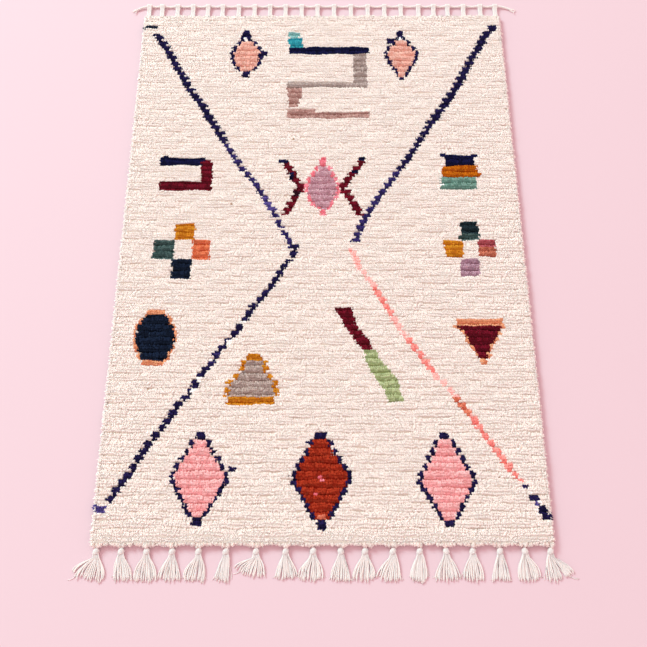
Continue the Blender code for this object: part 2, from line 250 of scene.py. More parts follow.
# The wool's colours as seen in daylight, red, green and blue from 0 to 1.
DYES = {
    "ivory": (0.924, 0.879, 0.868),
    "white": (0.995, 0.980, 0.985),
    "navy": (0.150, 0.122, 0.305),
    "violet": (0.360, 0.310, 0.560),
    "ink": (0.100, 0.102, 0.270),
    "night": (0.106, 0.152, 0.240),
    "teal": (0.540, 0.710, 0.715),
    "sea": (0.250, 0.640, 0.700),
    "peach": (0.888, 0.703, 0.662),
    "taupe": (0.700, 0.638, 0.625),
    "rosewood": (0.724, 0.583, 0.562),
    "maroon": (0.450, 0.087, 0.168),
    "rose": (0.928, 0.712, 0.724),
    "red": (0.652, 0.234, 0.145),
    "mauve": (0.785, 0.633, 0.682),
    "blush": (0.910, 0.550, 0.610),
    "mint": (0.482, 0.610, 0.575),
    "orange": (0.735, 0.417, 0.076),
    "gold": (0.790, 0.536, 0.165),
    "green": (0.300, 0.383, 0.383),
    "pine": (0.142, 0.202, 0.232),
    "coral": (0.838, 0.485, 0.350),
    "brick": (0.705, 0.375, 0.410),
    "clay": (0.745, 0.455, 0.375),
    "lilac": (0.704, 0.572, 0.636),
    "tan": (0.870, 0.620, 0.490),
    "stone": (0.718, 0.647, 0.630),
    "leaf": (0.692, 0.725, 0.570),
    "salmon": (0.945, 0.620, 0.600),
    "indigo": (0.235, 0.195, 0.420),
    "plum": (0.230, 0.070, 0.150),
    "petal": (0.980, 0.760, 0.750),
    "rust": (0.850, 0.520, 0.430),
    "speck": (0.740, 0.630, 0.550),
}
DYE_NAMES = list(DYES)
WARP_IVORY = (1.0, 0.940, 0.925)
WARP_SHADE = (0.955, 0.900, 0.875)  # between its plies
PLY_GROOVES = 260.0  # in a metre of warp yarn

CAMERA_AT = (0.002, -1.245, 2.112)
CAMERA_DOWN = 63.95  # degrees below level
CAMERA_TURN = -0.05  # degrees from straight along the rug
LENS = 54.3
FLOOR_PINK = (0.897, 0.774, 0.807)
ROOM_LIGHT = (1, 0.78, 0.775, 1)
ROOM_STRENGTH = 0.97
WINDOW_AT = (-6.0, 4.8, 6.4)
WINDOW_LIGHT = (0.55, 1.0, 0.97)
WINDOW_POWER = 775


def wave(x, y, turn):
    """A smooth uneven value from -1 to 1, the same each time for a place on the rug."""
    slow = np.sin(23.0 * x + 87.0 * y + turn)
    quick = np.sin(61.0 * x - 131.0 * y + 2.3 * turn)
    return (slow + quick) / 2


def linear(colour):
    """A daylight colour as the linear values that light is worked out in."""
    shown = np.asarray(colour, float)
    return np.where(shown <= 0.04045, shown / 12.92, ((shown + 0.055) / 1.055) ** 2.4)


# The chart of the knots. Places on it are metres from the pile's left and fringe edges.


def rows_between(low, high):
    first, last = round(low / CHART_ROW), round(high / CHART_ROW)
    return range(max(first, 0), min(last, CHART_ROWS))


def middle_of(row):
    return (row + 0.5) * CHART_ROW


def step_of(row):
    """The place along a slanting line that a row of knots stands for."""
    middle_of_knots = (row // RANKS_IN_ROW + 0.5) * ROW_PITCH
    return middle_of_knots + KNOT_LEAN * (middle_of(row) - middle_of_knots)


def span(chart, dye, left, right, row):
    """Dyes one row of the chart between two places across the rug, with ragged sides."""
    middle = middle_of(row)
    left = left + RAGGED * wave(9.0 * left, 7.0 * middle, 1.0)
    right = right + RAGGED * wave(9.0 * right, 7.0 * middle, 2.0)
    chart[row, (MIDDLES > left) & (MIDDLES < right)] = DYE_NAMES.index(dye)


def block(chart, dye, left, right, low, high):
    for row in rows_between(low, high):
        span(chart, dye, left, right, row)


def knots(chart, dye, width, height, *places):
    """Dyes some single knots, or runs of them, about their middles."""
    for x, y in places:
        block(chart, dye, x - width / 2, x + width / 2, y - height / 2, y + height / 2)


def slant(chart, dye, width, *places):
    """A slanting line of single knots through some places."""
    places = sorted(places, key=lambda place: place[1])
    xs, ys = zip(*places)
    for row in rows_between(ys[0], ys[-1]):
        x = np.interp(step_of(row), ys, xs)
        half = width * BEADS[row % RANKS_IN_ROW] / 2
        span(chart, dye, x - half, x + half, row)


def shape(chart, dye, outline):
    """A filled shape, from its left and right sides at some places along the rug."""
    ys, lefts, rights = zip(*sorted(outline))
    for row in rows_between(ys[0], ys[-1]):
        left = np.interp(middle_of(row), ys, lefts)
        right = np.interp(middle_of(row), ys, rights)
        span(chart, dye, left, right, row)


def figure(chart, fill, edge, thick, cap, outline):
    """A filled shape with a beaded line of knots round it, and a cap of knots at both ends."""
    ys, lefts, rights = zip(*sorted(outline))
    for row in rows_between(ys[0], ys[-1]):
        left = np.interp(step_of(row), ys, lefts)
        right = np.interp(step_of(row), ys, rights)
        side = thick * BEADS[row % RANKS_IN_ROW]
        span(chart, edge, left - side, left + 0.001, row)
        span(chart, edge, right - 0.001, right + side, row)
        span(chart, fill, left, right, row)
    block(chart, edge, lefts[0], rights[0], ys[0] - cap, ys[0])
    block(chart, edge, lefts[-1], rights[-1], ys[-1], ys[-1] + cap)


def add_diagonals(chart):
    """Two lines of knots that lean together and apart again, down the whole rug."""
    slant(
        chart, "navy", 0.0225, (0.036, 1.435), (0.064, 1.388), (0.100, 1.318), (0.139, 1.241),
        (0.177, 1.182), (0.209, 1.124), (0.242, 1.065),
    )
    slant(
        chart, "indigo", 0.0155, (0.242, 1.065), (0.283, 0.992), (0.318, 0.945), (0.354, 0.889),
        (0.375, 0.845), (0.406, 0.783), (0.428, 0.738),
    )
    slant(chart, "violet", 0.0190, (0.350, 0.893), (0.373, 0.848))
    slant(
        chart, "navy", 0.0165, (0.430, 0.748), (0.432, 0.727), (0.409, 0.692), (0.371, 0.624),
        (0.333, 0.574), (0.295, 0.509), (0.262, 0.466), (0.221, 0.401), (0.193, 0.351),
        (0.164, 0.314), (0.138, 0.270), (0.107, 0.228), (0.087, 0.192), (0.064, 0.148),
        (0.039, 0.112), (0.031, 0.094),
    )
    knots(chart, "night", 0.033, 0.017, (0.022, 1.457))
    knots(chart, "violet", 0.022, 0.016, (0.014, 0.076))
    knots(chart, "indigo", 0.013, 0.012, (0.254, 0.443), (0.239, 0.425), (0.201, 0.368))
    knots(
        chart, "white", 0.011, 0.010, (0.309, 0.533), (0.280, 0.481), (0.239, 0.437),
        (0.214, 0.384), (0.201, 0.358),
    )
    knots(chart, "ivory", 0.020, 0.006, (0.383, 0.829), (0.402, 0.796), (0.421, 0.712))

    knots(chart, "navy", 0.024, 0.017, (0.977, 1.454))
    slant(
        chart, "navy", 0.0235, (0.967, 1.445), (0.936, 1.388), (0.900, 1.318), (0.862, 1.241),
        (0.831, 1.188), (0.789, 1.124),
    )
    slant(chart, "navy", 0.0185, (0.789, 1.124), (0.759, 1.071), (0.733, 1.024), (0.700, 0.975))
    slant(
        chart, "indigo", 0.0175, (0.700, 0.975), (0.655, 0.905), (0.610, 0.830), (0.594, 0.790),
        (0.580, 0.757),
    )
    slant(
        chart, "petal", 0.0135, (0.571, 0.739), (0.591, 0.686), (0.631, 0.624), (0.647, 0.592),
        (0.668, 0.551), (0.709, 0.478), (0.750, 0.425), (0.768, 0.389), (0.788, 0.369),
        (0.812, 0.337), (0.853, 0.275), (0.891, 0.213), (0.940, 0.139),
    )
    slant(chart, "salmon", 0.0150, (0.628, 0.630), (0.647, 0.592), (0.668, 0.551))
    slant(chart, "salmon", 0.0145, (0.700, 0.494), (0.735, 0.442), (0.760, 0.405))
    slant(chart, "rust", 0.0165, (0.807, 0.344), (0.829, 0.307), (0.841, 0.292))
    slant(chart, "salmon", 0.0150, (0.841, 0.292), (0.873, 0.242), (0.912, 0.181), (0.940, 0.139))
    knots(chart, "indigo", 0.011, 0.011, (0.950, 0.126))
    knots(chart, "navy", 0.016, 0.011, (0.966, 0.106))
    knots(chart, "violet", 0.010, 0.012, (0.972, 0.092))
    knots(chart, "white", 0.008, 0.010, (0.958, 0.113), (0.979, 0.094), (0.974, 0.074))
    knots(chart, "navy", 0.017, 0.013, (0.982, 0.076), (0.988, 0.061))


def add_lozenges(chart):
    """The large lozenges at the fringe end, the small ones at the heading, and the middle one."""
    figure(chart, "rose", "navy", 0.0095, 0.020, (
        (0.060, 0.216, 0.237), (0.148, 0.167, 0.286), (0.238, 0.214, 0.234),
    ))
    figure(chart, "red", "navy", 0.0100, 0.020, (
        (0.052, 0.488, 0.508), (0.148, 0.437, 0.559), (0.238, 0.484, 0.508),
    ))
    figure(chart, "rose", "navy", 0.0095, 0.020, (
        (0.057, 0.767, 0.788), (0.142, 0.718, 0.836), (0.236, 0.766, 0.787),
    ))
    knots(chart, "rust", 0.020, 0.012, (0.498, 0.060))
    knots(chart, "blush", 0.007, 0.006, (0.493, 0.150), (0.500, 0.143), (0.484, 0.112))
    knots(chart, "navy", 0.014, 0.011, (0.298, 0.172))

    figure(chart, "peach", "navy", 0.0100, 0.018, (
        (1.297, 0.283, 0.302), (1.318, 0.267, 0.318), (1.335, 0.259, 0.326), (1.363, 0.257, 0.326),
        (1.381, 0.263, 0.321), (1.409, 0.279, 0.300),
    ))
    figure(chart, "peach", "navy", 0.0100, 0.015, (
        (1.283, 0.711, 0.725), (1.300, 0.709, 0.729), (1.318, 0.697, 0.742), (1.335, 0.688, 0.750),
        (1.358, 0.680, 0.759), (1.381, 0.688, 0.750), (1.399, 0.703, 0.735), (1.415, 0.712, 0.727),
    ))
    for x in (0.288, 0.718):
        shape(chart, "navy", ((1.409, x - 0.016, x + 0.016), (1.444, x - 0.007, x + 0.007)))
        knots(chart, "white", 0.009, 0.013, (x, 1.417))
    knots(chart, "navy", 0.020, 0.014, (0.338, 1.360), (0.692, 1.406))

    figure(chart, "mauve", "blush", 0.0090, 0.020, (
        (0.856, 0.496, 0.510), (0.872, 0.479, 0.520), (0.902, 0.465, 0.536), (0.917, 0.461, 0.539),
        (0.946, 0.472, 0.528), (0.967, 0.486, 0.520), (0.990, 0.494, 0.510),
    ))
    slant(chart, "maroon", 0.0200, (0.405, 0.834), (0.426, 0.878), (0.446, 0.918), (0.402, 1.000))
    slant(chart, "maroon", 0.0200, (0.596, 0.837), (0.570, 0.888), (0.552, 0.918), (0.604, 1.003))
    knots(chart, "ink", 0.026, 0.012, (0.399, 1.001))
    knots(chart, "ink", 0.014, 0.017, (0.421, 0.954), (0.586, 0.969), (0.604, 1.006))
    knots(chart, "plum", 0.016, 0.014, (0.436, 0.899))


def add_bars(chart):
    """The angular figures of bars, the stripes and the slanting bar."""
    for bar in (
        # dye, left, right, fringe side, heading side
        ("teal", 0.405, 0.438, 1.420, 1.441),
        ("teal", 0.411, 0.433, 1.411, 1.421),
        ("sea", 0.405, 0.446, 1.396, 1.412),
        ("sea", 0.412, 0.445, 1.382, 1.397),
        ("taupe", 0.585, 0.622, 1.247, 1.360),
        ("taupe", 0.405, 0.622, 1.242, 1.262),
        ("ink", 0.410, 0.630, 1.359, 1.383),
        ("rosewood", 0.405, 0.445, 1.205, 1.242),
        ("rosewood", 0.410, 0.438, 1.175, 1.206),
        ("rosewood", 0.405, 0.480, 1.145, 1.172),
        ("rosewood", 0.405, 0.627, 1.143, 1.160),
        ("ink", 0.079, 0.200, 0.986, 1.010),
        ("ink", 0.080, 0.098, 1.010, 1.021),
        ("maroon", 0.185, 0.216, 0.912, 0.998),
        ("maroon", 0.194, 0.210, 0.996, 1.005),
        ("maroon", 0.080, 0.214, 0.911, 0.936),
        ("ink", 0.820, 0.895, 0.988, 1.020),
        ("orange", 0.809, 0.903, 0.949, 0.988),
        ("mint", 0.806, 0.899, 0.912, 0.949),
    ):
        block(chart, *bar)
    knots(chart, "ink", 0.014, 0.016, (0.816, 1.019), (0.896, 1.019))
    knots(chart, "orange", 0.012, 0.012, (0.905, 0.959))
    knots(chart, "white", 0.008, 0.008, (0.812, 0.992), (0.809, 0.931))

    shape(chart, "maroon", (
        (0.460, 0.596, 0.622), (0.490, 0.574, 0.609), (0.515, 0.559, 0.587), (0.533, 0.549, 0.580),
        (0.572, 0.530, 0.570),
    ))
    shape(chart, "leaf", (
        (0.332, 0.654, 0.688), (0.354, 0.647, 0.681), (0.389, 0.625, 0.675), (0.413, 0.609, 0.654),
        (0.436, 0.600, 0.637), (0.462, 0.600, 0.626),
    ))


def add_small_figures(chart):
    """The two crosses of four blocks, the round figure and the two triangles."""
    for part in (
        # dye, left, right, fringe side, heading side
        ("gold", 0.131, 0.180, 0.760, 0.810),
        ("green", 0.079, 0.132, 0.710, 0.760),
        ("coral", 0.176, 0.222, 0.710, 0.760),
        ("night", 0.127, 0.176, 0.654, 0.710),
        ("pine", 0.847, 0.891, 0.778, 0.815),
        ("green", 0.846, 0.892, 0.763, 0.779),
        ("gold", 0.805, 0.851, 0.712, 0.765),
        ("brick", 0.889, 0.931, 0.742, 0.762),
        ("clay", 0.889, 0.931, 0.712, 0.743),
        ("lilac", 0.843, 0.889, 0.657, 0.710),
    ):
        block(chart, *part)

    figure(chart, "night", "tan", 0.0065, 0.013, (
        (0.434, 0.076, 0.128), (0.451, 0.069, 0.138), (0.466, 0.061, 0.144), (0.484, 0.058, 0.148),
        (0.504, 0.057, 0.147), (0.524, 0.059, 0.142), (0.542, 0.068, 0.130), (0.552, 0.079, 0.122),
    ))
    figure(chart, "stone", "gold", 0.0105, 0.018, (
        (0.342, 0.279, 0.392), (0.357, 0.284, 0.388), (0.375, 0.290, 0.386), (0.392, 0.302, 0.375),
        (0.407, 0.315, 0.363), (0.434, 0.322, 0.357),
    ))
    figure(chart, "maroon", "tan", 0.0075, 0.018, (
        (0.439, 0.873, 0.887), (0.454, 0.866, 0.891), (0.472, 0.856, 0.900), (0.489, 0.847, 0.914),
        (0.518, 0.833, 0.920), (0.522, 0.820, 0.932),
    ))


def chart_of_knots():
    """The dye of every knot, as rows from the fringe and columns from the left."""
    chart = np.zeros((CHART_ROWS, COLUMNS), int)
    add_diagonals(chart)
    add_lozenges(chart)
    add_bars(chart)
    add_small_figures(chart)
    for x, y in ((0.893, 0.150), (0.020, 0.430), (0.093, 0.362), (0.270, 0.870), (0.425, 1.070)):
        knots(chart, "speck", 0.006, 0.009, (x, y))
    return chart


def roll_height(along):
    return np.interp(along, *zip(*ROLL_PROFILE))


def openness(x, along):
    """How far the pile opens between two rows, from 0 to 1."""
    return np.clip(OPEN_USUAL + OPEN_CHANGE * wave(1.7 * x, along, 4.0), 0, 1)


def fringe_reach(x):
    """How far the roll of pile reaches past the fringe edge: furthest over each tassel."""
    heads = [row[0] for row in TASSELS]
    between = [(a + b) / 2 for a, b in zip(heads, heads[1:])]
    nearness = sorted([(at, 1) for at in heads] + [(at, 0) for at in between])
    near = np.interp(x, *zip(*nearness)) ** ROLL_SCALLOP
    return ROLL_BETWEEN + (ROLL_AT_TASSEL - ROLL_BETWEEN) * near


def bent_ends(roots, headings, reaches, rise, radii, colours):
    """Points, faces and colours of yarn ends that rise from their roots and bend over."""
    count = len(roots)
    away = np.stack((np.cos(headings), np.sin(headings), np.zeros(count)), 1)
    aside = np.stack((-np.sin(headings), np.cos(headings), np.zeros(count)), 1)
    up = np.array((0.0, 0.0, 1.0))
    middles = [
        roots + away * (reaches * out)[:, None] + up * rise * high for out, high, _ in END_SHAPE
    ]
    points = []
    for k, (_, _, thick) in enumerate(END_SHAPE[:-1]):
        forward = middles[k + 1] - middles[max(k - 1, 0)]
        forward /= np.linalg.norm(forward, axis=1)[:, None]
        over = np.cross(forward, aside)
        for side in range(END_SIDES):
            angle = 2 * math.pi * side / END_SIDES
            outward = math.cos(angle) * aside + math.sin(angle) * over
            points.append(middles[k] + outward * (radii * thick)[:, None])
    points.append(middles[-1])
    points = np.stack(points, 1)

    faces = tube_faces(count, len(END_SHAPE) - 1, END_SIDES)
    tints = np.repeat(colours[:, None], points.shape[1], axis=1)
    # Painted shade: the root ring is darker and yellower, the middle ring a little.
    root_shade = colours[:, None] ** DEEP_SHADE_POWER * DEEP_SHADE_TINT
    tints[:, :END_SIDES] *= root_shade
    tints[:, END_SIDES:2 * END_SIDES] *= np.sqrt(np.sqrt(root_shade))
    return points.reshape(-1, 3), faces, tints.reshape(-1, 3)


def joined(parts):
    """Several (points, faces, values of the points or corners) as one."""
    points, faces, values, start = [], [], [], 0
    for some_points, some_faces, some_values in parts:
        points.append(some_points)
        values.append(some_values)
        faces += [[i + start for i in face] for face in some_faces]
        start += len(some_points)
    return np.concatenate(points), faces, np.concatenate(values)


def add_piece(mesh, material, slot, *replaced):
    """Makes a mesh a piece of the rug, under the mesh's own name."""
    mesh.materials.append(material)
    piece = bpy.data.objects.new(mesh.name, mesh)
    bpy.context.scene.collection.objects.link(piece)
    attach(piece, "root")
    if replaced:
        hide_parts(*replaced)
    return piece


def new_mesh(name, points, faces):
    mesh = bpy.data.meshes.new(name)
    mesh.from_pydata(points.tolist(), [], faces)
    return mesh


def add_dye(mesh, colours, kind):
    """Gives a mesh the colours of its points or of its faces' corners."""
    layer = mesh.color_attributes.new("dye", "FLOAT_COLOR", kind)
    layer.data.foreach_set("color", np.column_stack((colours, np.ones(len(colours)))).ravel())


def dyed_mesh(name, points, faces, colours):
    """A smooth-shaded mesh with one colour for each point."""
    mesh = new_mesh(name, points, faces)
    add_dye(mesh, colours, "POINT")
    mesh.shade_smooth()
    return mesh


def is_dyed(colours):
    return colours[..., 2] < 0.7 * linear(DYES["ivory"])[2]


def dye_at(chart, rows, x):
    """The linear colours of the chart at some rows and places across the rug."""
    dyes = linear([DYES[name] for name in DYE_NAMES])
    column = np.clip(((x - LEFT) / COLUMN).astype(int), 0, COLUMNS - 1)
    return dyes[chart[rows, column]]


def tube_faces(count, rings, sides):
    """Faces of some tubes that each end in one tip point: their quads, then their tips."""
    quads, tips = [], []
    for ring in range(rings - 1):
        for side in range(sides):
            after = (side + 1) % sides
            low, high = ring * sides, (ring + 1) * sides
            quads.append((low + side, low + after, high + after, high + side))
    last = (rings - 1) * sides
    for side in range(sides):
        tips.append((last + side, last + (side + 1) % sides, rings * sides))
    step = rings * sides + 1
    starts = (np.arange(count) * step)[:, None, None]
    faces = (np.array(quads)[None] + starts).reshape(-1, 4).tolist()
    return faces + (np.array(tips)[None] + starts).reshape(-1, 3).tolist()


def knot_ends(chart, rows, draw):
    """The yarn ends of every knot in some rows of the chart."""
    row, column = [grid.ravel() for grid in np.meshgrid(rows, np.arange(2 * KNOTS), indexing="ij")]
    count = len(row)
    own = (row - rows[0]) * KNOTS + column // 2
    knot_count = own.max() + 1
    knot_lift = draw.normal(0, KNOT_LIFT, knot_count)[own]
    knot_turn = draw.normal(0, KNOT_TURN, knot_count)[own]
    knot_shade = draw.normal(0, 1, knot_count)[own]
    knot_shift = draw.normal(0, KNOT_SHIFT, knot_count)[own]
    parts = []
    for rank, (along_row, reach, radius, height) in enumerate(RANKS):
        stagger = draw.uniform(-0.5, 0.5, len(rows))[row - rows[0]]
        x = LEFT + (column + 0.5 + stagger) * KNOT / 2 + draw.normal(0, END_ACROSS, count)
        x = np.clip(x, LEFT + 0.002, -LEFT - 0.002)
        along = (row + along_row) * ROW_PITCH + knot_shift + draw.normal(0, END_ALONG, count)
        reaches = reach * (1 + draw.normal(0, REACH_UNEVEN, count))
        if rank == 0:
            reaches += FRONT_OPENS * (0.55 - openness(x, row * ROW_PITCH))
        if rank == len(RANKS) - 1:
            along -= BACK_OPENS * openness(x, (row + 1) * ROW_PITCH)
        tip = along - reaches
        rolled = tip < ROLL_LENGTH - 0.004
        top = np.where(rolled, roll_height(tip), height)
        top += LUMP * wave(x, along, 0.4) + knot_lift + draw.normal(0, END_LIFT, count)
        y = along + FRINGE_EDGE + WANDER * wave(x, along + FRINGE_EDGE, 1.9)
        y -= fringe_reach(x) * np.clip(1 - along / 0.010, 0, 1)
        heading = -math.pi / 2 + knot_turn + draw.normal(0, END_TURN, count)
        radii = radius * (1 + draw.normal(0, RADIUS_UNEVEN, count))
        roots = np.stack((x, y, top - radii * 0.6 - ROOT_DEPTH), 1)
        dyed = dye_at(chart, row * RANKS_IN_ROW + rank, x)
        # Dyed knots get their rank's painted shade and a tone that differs at random; undyed knots
        # only that tone.
        uneven = (knot_shade + draw.normal(0, 1, count))[:, None]
        dyed_shade = np.clip(dyed ** (SHADE_OF_RANK[rank] + DYED_UNEVEN * uneven), *DEPTH_LIMITS)
        undyed_shade = 1 + UNDYED_UNEVEN * uneven
        colours = dyed * np.where(is_dyed(dyed)[:, None], dyed_shade, undyed_shade)
        parts.append(bent_ends(roots, heading, reaches, ROOT_DEPTH, radii, colours))
    return joined(parts)


def edge_tier(chart, draw, rows, roots, heading, reaches, uneven, radius, rise):
    """One tier of yarn ends that point out of a side of the pile."""
    count = len(rows)
    heading_uneven, height_uneven, radius_uneven = uneven
    headings = heading + draw.normal(0, heading_uneven, count)
    roots[:, 2] += draw.normal(0, height_uneven, count)
    radii = radius * (1 + draw.normal(0, radius_uneven, count))
    shade = 1 + draw.normal(0, EDGE_SHADE_UNEVEN, count)
    colours = dye_at(chart, rows, roots[:, 0]) * shade[:, None]
    return bent_ends(roots, headings, reaches, rise, radii, colours)


def edge_ends(chart, draw):
    """Yarn ends that point out of the pile's four sides, in tiers."""
    parts = []
    count = KNOT_ROWS * SIDE_ENDS
    rows = np.arange(count) // SIDE_ENDS * RANKS_IN_ROW + 1
    own = (SIDE_UNEVEN, SIDE_RADIUS, SIDE_RISE)
    for side, heading in ((-1, math.pi), (1, 0.0)):
        x = np.full(count, side * (FIELD_WIDTH / 2 - SIDE_ROOT))
        for z, reach in SIDE_TIERS:
            y = (np.arange(count) + 0.5) / SIDE_ENDS * ROW_PITCH + draw.normal(0, 0.0012, count)
            ridge = np.sin(math.pi * ((y - ROLL_LENGTH) / ROW_PITCH % 1.0))
            reaches = reach + ROW_REACH * ridge + draw.normal(0, 0.0010, count)
            roots = np.stack((x, y + FRINGE_EDGE, z + ROW_LIFT * ridge - SIDE_RISE), 1)
            parts.append(edge_tier(chart, draw, rows, roots, heading, reaches, *own))
    count = KNOTS
    own = (SHORT_UNEVEN, SHORT_RADIUS, SHORT_RISE)
    for end, row in ((-1, 0), (1, CHART_ROWS - 1)):
        y = np.full(count, end * (FIELD_LENGTH / 2 - SHORT_ROOT))
        for z, reach in SHORT_TIERS:
            x = LEFT + (np.arange(count) + 0.5) * KNOT + draw.normal(0, 0.0020, count)
            x = np.clip(x, LEFT + 0.004, -LEFT - 0.004)
            out = fringe_reach(x) if end < 0 else HEADING_REACH
            reaches = reach + out + draw.normal(0, 0.0013, count)
            roots = np.stack((x, y, np.full(count, z - 0.0010)), 1)
            rows = np.full(count, row)
            parts.append(edge_tier(chart, draw, rows, roots, end * math.pi / 2, reaches, *own))
    return joined(parts)


def closed_slab(name, chart, xs, alongs, heights, bottom, shade_depths):
    """A closed slab under the pile, coloured by the chart, from lines of points across it."""
    x, along = np.meshgrid(xs, alongs)
    y = along + FRINGE_EDGE
    x_in = np.clip(x, LEFT + BODY_INSET, -LEFT - BODY_INSET)
    y_in = y + WANDER * wave(x, y, 1.9)
    y_in = np.clip(y_in, FRINGE_EDGE + BODY_INSET, -FRINGE_EDGE - BODY_INSET)
    points = np.stack((x_in, y_in, heights(x, along)), 2).reshape(-1, 3)
    grid = np.arange(len(points)).reshape(len(alongs), len(xs))
    faces = np.stack((grid[:-1, :-1], grid[:-1, 1:], grid[1:, 1:], grid[1:, :-1]), 2)
    faces = faces.reshape(-1, 4).tolist()
    middle_x = (x[:-1, :-1] + x[1:, 1:]) / 2
    middle_row = ((along[:-1, :-1] + along[1:, 1:]) / 2 / CHART_ROW).astype(int)
    colours = dye_at(chart, np.clip(middle_row, 0, CHART_ROWS - 1), middle_x)
    # Painted shade: the body's colours are darker and yellower, most in its grooves.
    colours = (colours ** (1 + shade_depths[:, None, None]) * DEEP_SHADE_TINT).reshape(-1, 3)
    rim = np.concatenate((grid[0], grid[1:-1, -1], grid[-1, ::-1], grid[-2:0:-1, 0])).tolist()
    low = points[rim].copy()
    low[:, 2] = bottom
    start = len(points)
    points = np.concatenate((points, low))
    for i in range(len(rim)):
        j = (i + 1) % len(rim)
        faces.append((rim[i], start + i, start + j, rim[j]))
    faces.append(tuple(reversed(range(start, start + len(rim)))))
    # Its sides and bottom are ivory with the painted shade.
    ivory = linear(DYES["ivory"])[None] ** (1 + DEEP_SHADE_POWER)
    colours = np.concatenate((colours, np.repeat(ivory, len(rim) + 1, axis=0)))
    mesh = new_mesh(name, points, faces)
    add_dye(mesh, np.repeat(colours, [len(face) for face in faces], axis=0), "CORNER")
    return mesh


def body_heights(x, along):
    """Height of the body under the yarn ends: a ridge for each row and a groove between."""
    ridge = ((along - ROLL_LENGTH) / ROW_PITCH) % 1.0
    share = np.interp(ridge, *zip(*BODY_RIDGE))
    groove = GROOVE + (BODY_TOP - GROOVE) * GROOVE_FILLED * (1 - openness(x, along))
    height = groove + (BODY_TOP - groove) * share
    under_roll = roll_height(along + 0.001) - BODY_UNDER_ROLL
    height = np.where(along < ROLL_LENGTH - 0.002, under_roll, height)
    return height + LUMP * wave(x, along, 0.4)


def ground_heights(x, along):
    return np.full(x.shape, GROUND_TOP - 0.0002)


def build_body(chart, material):
    """The closed body of the pile, with its woven ground under it."""
    xs = LEFT + np.arange(KNOTS + 1) * KNOT
    alongs = (np.arange(KNOT_ROWS)[:, None] + np.array(BODY_LINES)[None]).ravel() * ROW_PITCH
    alongs = np.append(alongs, FIELD_LENGTH)
    grooves = np.isin(np.arange(len(alongs) - 1) % len(BODY_LINES), (0, len(BODY_LINES) - 1))
    # Painted shade on the body, stronger in the grooves than on the ridges.
    shade_depths = DEEP_SHADE_POWER * np.where(grooves, GROOVE_SHADE, BODY_SHADE)
    mesh = closed_slab("pile_roots", chart, xs, alongs, body_heights, GROUND_TOP, shade_depths)
    body = add_piece(mesh, material, "pile_wool", "pile_field")

    alongs = np.arange(KNOT_ROWS + 1) * ROW_PITCH
    # The woven ground gets only the painted shade's yellow tint.
    mesh = closed_slab(
        "woven_ground", chart, xs, alongs, ground_heights, GROUND_BOTTOM, np.zeros(KNOT_ROWS)
    )
    ground = add_piece(mesh, material, "pile_wool")
    return body, ground


def aside_and_over(paths, across):
    """Two directions square to some paths and to each other, at each step."""
    forward = np.gradient(paths, axis=-2)
    forward /= np.linalg.norm(forward, axis=-1)[..., None]
    aside = np.cross(forward, across)
    aside /= np.linalg.norm(aside, axis=-1)[..., None]
    return aside, np.cross(forward, aside)


def yarns(paths, radii, sides=6, across=(0.0, 0.0, 1.0)):
    """Round yarns along some paths, as points, faces and each corner's place on its yarn."""
    paths = np.asarray(paths, float)
    count, steps = paths.shape[:2]
    radii = np.broadcast_to(radii, (count, steps))
    aside, over = aside_and_over(paths, across)
    angles = (2 * math.pi * np.arange(sides) / sides)[:, None]
    outward = np.cos(angles) * aside[:, :, None] + np.sin(angles) * over[:, :, None]
    points = paths[:, :, None] + outward * radii[:, :, None, None]
    lengths = np.zeros((count, steps))
    lengths[:, 1:] = np.cumsum(np.linalg.norm(np.diff(paths, axis=1), axis=2), axis=1)

    faces, places = [], []
    for yarn in range(count):
        first = yarn * steps * sides
        for ring in range(steps - 1):
            near, far = lengths[yarn, ring], lengths[yarn, ring + 1]
            for side in range(sides):
                after = (side + 1) % sides
                low, high = first + ring * sides, first + (ring + 1) * sides
                faces.append((low + side, low + after, high + after, high + side))
                left, right = side / sides, (side + 1) / sides
                places += [(left, near), (right, near), (right, far), (left, far)]
        last = first + (steps - 1) * sides
        faces.append(tuple(reversed(range(first, first + sides))))
        faces.append(tuple(range(last, last + sides)))
        places += [(0.5, 0.0)] * sides + [(0.5, lengths[yarn, -1])] * sides
    return points.reshape(-1, 3), faces, np.array(places)


def yarn_mesh(name, parts):
    """One smooth-shaded mesh of several groups of yarns."""
    points, faces, places = joined(parts)
    mesh = new_mesh(name, points, faces)
    layer = mesh.uv_layers.new(name="yarn")
    layer.data.foreach_set("uv", places.ravel())
    mesh.shade_smooth()
    return mesh


